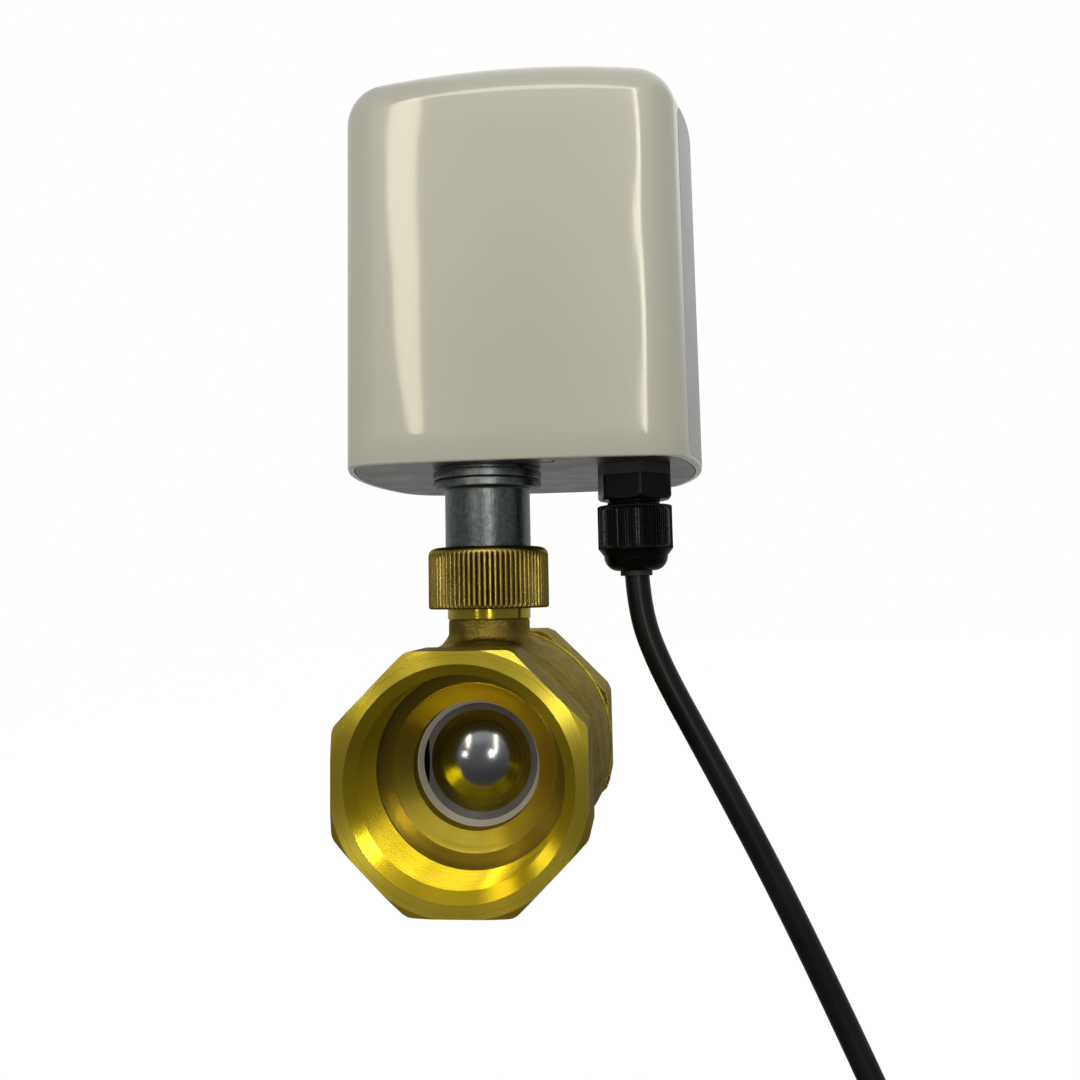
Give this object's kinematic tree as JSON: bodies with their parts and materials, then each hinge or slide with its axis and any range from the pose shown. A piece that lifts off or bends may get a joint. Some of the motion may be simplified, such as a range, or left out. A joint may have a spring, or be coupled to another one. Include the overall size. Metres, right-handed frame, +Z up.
{
  "type": "motorized ball valve",
  "caption": "Brass ball valve with threaded ports, turned by a boxed electric gear drive above it; ribbed union nut, cable gland and a coiled supply cable.",
  "frame": {"origin": "centre of the inlet port's mouth, in the plane of its end face", "axes": "+Y along the pipe from inlet to outlet, +Z up the valve stem towards the drive, +X to the right as seen from the inlet"},
  "size_m": [0.1303, 0.0995, 0.3],
  "materials": {
    "forged_brass": "turned bright at the faces, sand-cast matte on the belly",
    "nut_brass": "rolled ribs, bright crests",
    "ball_chrome": "polished",
    "seat_white": "smooth white seal ring",
    "stem_steel": "turned",
    "seal_black": "matte",
    "sleeve_zinc": "die-cast, dark satin",
    "plate_grey": "brushed sheet",
    "cover_grey": "smooth, glossy",
    "zinc_steel": "bright zinc plated",
    "gear_steel": "cut teeth",
    "gear_white": "moulded",
    "motor_case": "satin",
    "switch_black": "moulded",
    "board_green": "coated board",
    "part_yellow": "moulded case",
    "terminal_green": "moulded",
    "gland_black": "moulded, fine ribs",
    "cable_black": "smooth sheath",
    "core_brown": "insulated cores with bare ends"
  },
  "bodies": {
    "valve": {"valve_body": "forged_brass", "end_cap": "forged_brass", "seat_front": "seat_white", "seat_rear": "seat_white", "stem_thrust_washer": "seat_white", "nut_retaining_ring": "zinc_steel", "adapter_sleeve": "sleeve_zinc", "base_bush": "sleeve_zinc", "bush_locknut": "zinc_steel", "base_plate": "plate_grey", "cover": "cover_grey", "cover_gasket": "seal_black", "cover_screws": "zinc_steel", "gear_axles": "stem_steel", "lower_gear_plate": "zinc_steel", "upper_gear_plate": "zinc_steel", "lower_spacers": "zinc_steel", "gear_pillars": "zinc_steel", "pillar_nuts": "zinc_steel", "motor_can": "motor_case", "motor_screws": "zinc_steel", "lower_limit_switch": "switch_black", "upper_limit_switch": "switch_black", "switch_screws": "zinc_steel", "circuit_board": "board_green", "board_posts": "zinc_steel", "run_capacitor": "part_yellow", "terminal_block": "terminal_green", "gland_gasket": "seal_black", "gland_body": "gland_black", "gland_locknut": "gland_black", "gland_seal": "seal_black", "cable_entry": "cable_black", "supply_leads": "core_brown", "power_cable": "cable_black", "cable_coil": "cable_black", "coil_tie": "switch_black", "cable_leads": "core_brown"},
    "drive": {"ball": "ball_chrome", "valve_stem": "stem_steel", "stem_o_rings": "seal_black", "output_shaft": "stem_steel", "output_gear": "gear_steel", "lower_cam": "gear_white", "upper_cam": "gear_white"},
    "slow_cluster": {"slow_cluster_gear": "gear_steel"},
    "fast_cluster": {"fast_cluster_gear": "gear_white"},
    "motor_rotor": {"motor_pinion": "gear_steel"},
    "union": {"union_nut": "nut_brass"},
    "gland_clamp": {"gland_cap": "gland_black"},
    "lower_lever": {"lower_switch_lever": "zinc_steel"},
    "upper_lever": {"upper_switch_lever": "zinc_steel"}
  },
  "joints": [
    {"name": "ball_turn", "type": "hinge", "parent": "valve", "child": "drive", "pos_m": [0, 0.041, 0], "axis": [0, 0, 1], "range_deg": [-20, 70]},
    {"name": "slow_cluster_turn", "type": "hinge", "parent": "valve", "child": "slow_cluster", "pos_m": [0.01028, 0.05326, 0.075], "axis": [0, 0, 1], "range_deg": [-163.83, 47.17]},
    {"name": "fast_cluster_turn", "type": "hinge", "parent": "valve", "child": "fast_cluster", "pos_m": [0.00448, 0.06643, 0.079], "axis": [0, 0, 1], "range_deg": [-140.5, 490.5]},
    {"name": "motor_turn", "type": "hinge", "parent": "valve", "child": "motor_rotor", "pos_m": [0.02, 0.068, 0.082], "axis": [0, 0, 1], "range_deg": [-1633.83, 467.17]},
    {"name": "union_nut_turn", "type": "hinge", "parent": "valve", "child": "union", "pos_m": [0, 0.041, 0.038], "axis": [0, 0, 1], "continuous": true},
    {"name": "gland_cap_turn", "type": "hinge", "parent": "valve", "child": "gland_clamp", "pos_m": [0.0333, 0.041, 0.047], "axis": [0, 0, 1], "continuous": true},
    {"name": "lower_lever_swing", "type": "hinge", "parent": "valve", "child": "lower_lever", "pos_m": [-0.0125, 0.0658, 0.0896], "axis": [0, 0, -1], "range_deg": [0, 4], "stiffness_Nm_per_rad": 0.004, "springref_deg": -5.73},
    {"name": "upper_lever_swing", "type": "hinge", "parent": "valve", "child": "upper_lever", "pos_m": [-0.0125, 0.0658, 0.096], "axis": [0, 0, -1], "range_deg": [0, 4], "stiffness_Nm_per_rad": 0.004, "springref_deg": -5.73}
  ],
  "couplings": [
    {"joint": "slow_cluster_turn", "follows": "ball_turn", "ratio": -2.3333},
    {"joint": "fast_cluster_turn", "follows": "ball_turn", "ratio": 7},
    {"joint": "motor_turn", "follows": "ball_turn", "ratio": -23.333}
  ]
}
